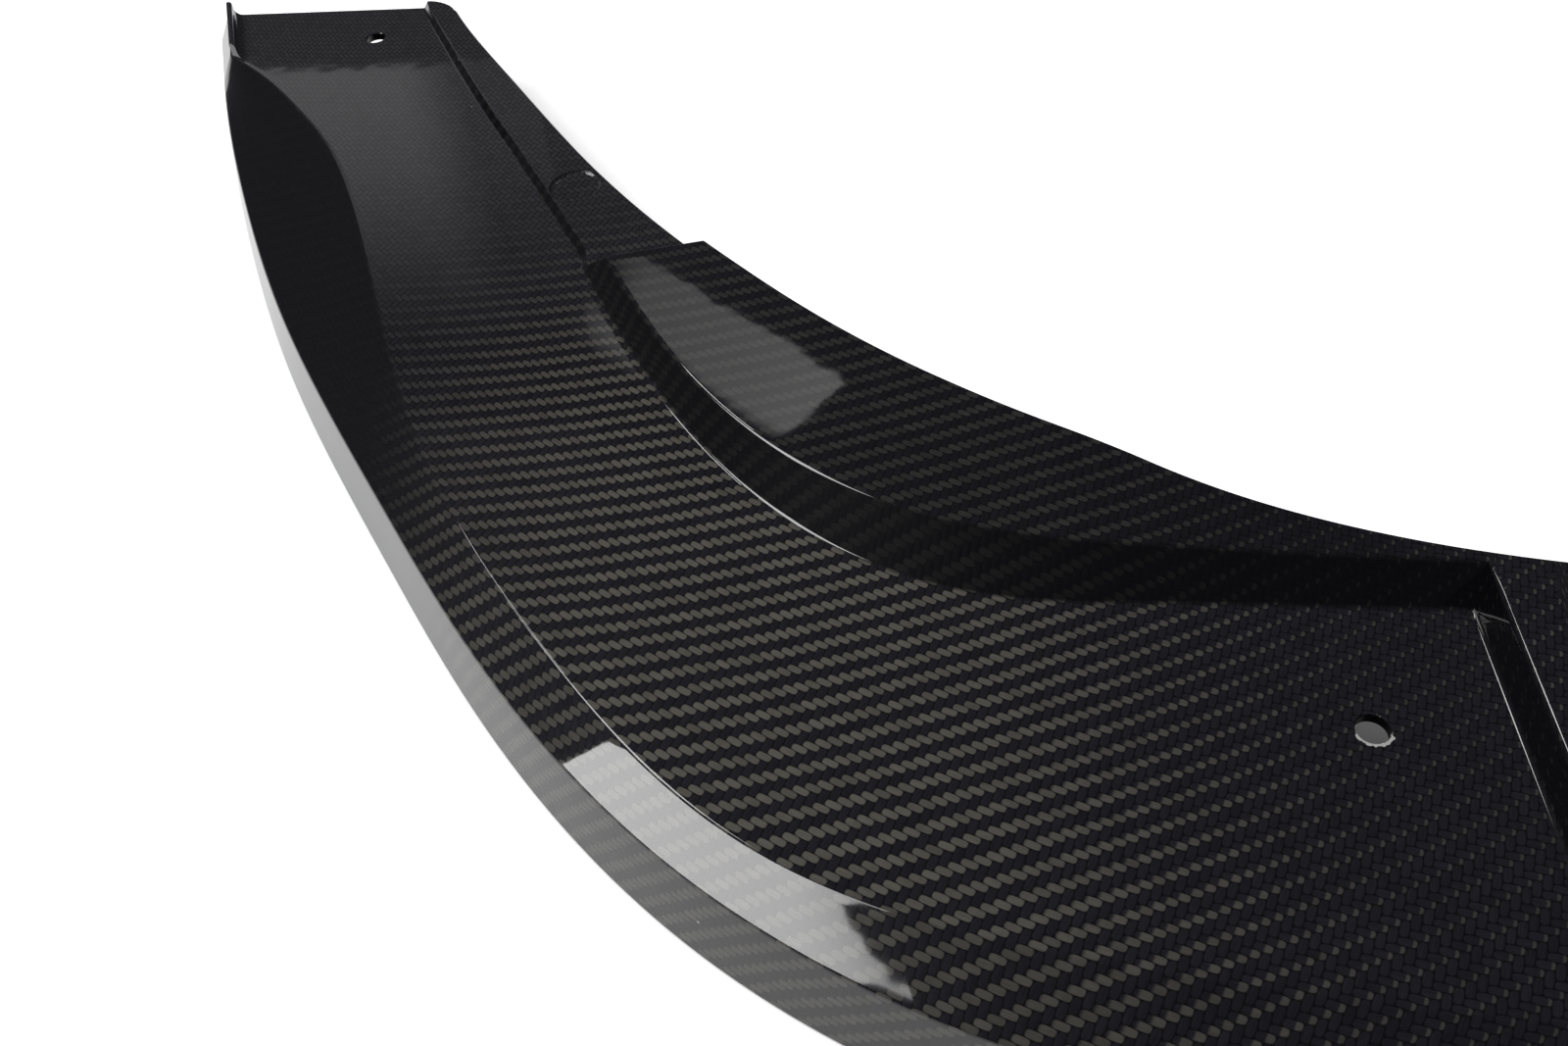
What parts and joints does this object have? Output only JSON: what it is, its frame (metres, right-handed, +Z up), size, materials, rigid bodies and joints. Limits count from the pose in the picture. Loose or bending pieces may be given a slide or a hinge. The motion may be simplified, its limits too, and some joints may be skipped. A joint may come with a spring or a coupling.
{
  "type": "bumper valance lip",
  "caption": "Car bumper valance lip in glossy woven carbon laminate: a low shell with swept-back arms, a bevelled outer wall, a raised seat and screw holes.",
  "frame": {"origin": "middle of the part's bounding box in plan, on the lower rim of the outer wall", "axes": "+X across the car, +Y from the lip's outer edge back towards the ends of the arms, +Z up from the lower rim to the raised seat"},
  "size_m": [1.77, 0.47, 0.047],
  "materials": {
    "carbon": "twill weave under clear gloss lacquer"
  },
  "bodies": {
    "root": {"valance_lip": "carbon"}
  },
  "joints": []
}
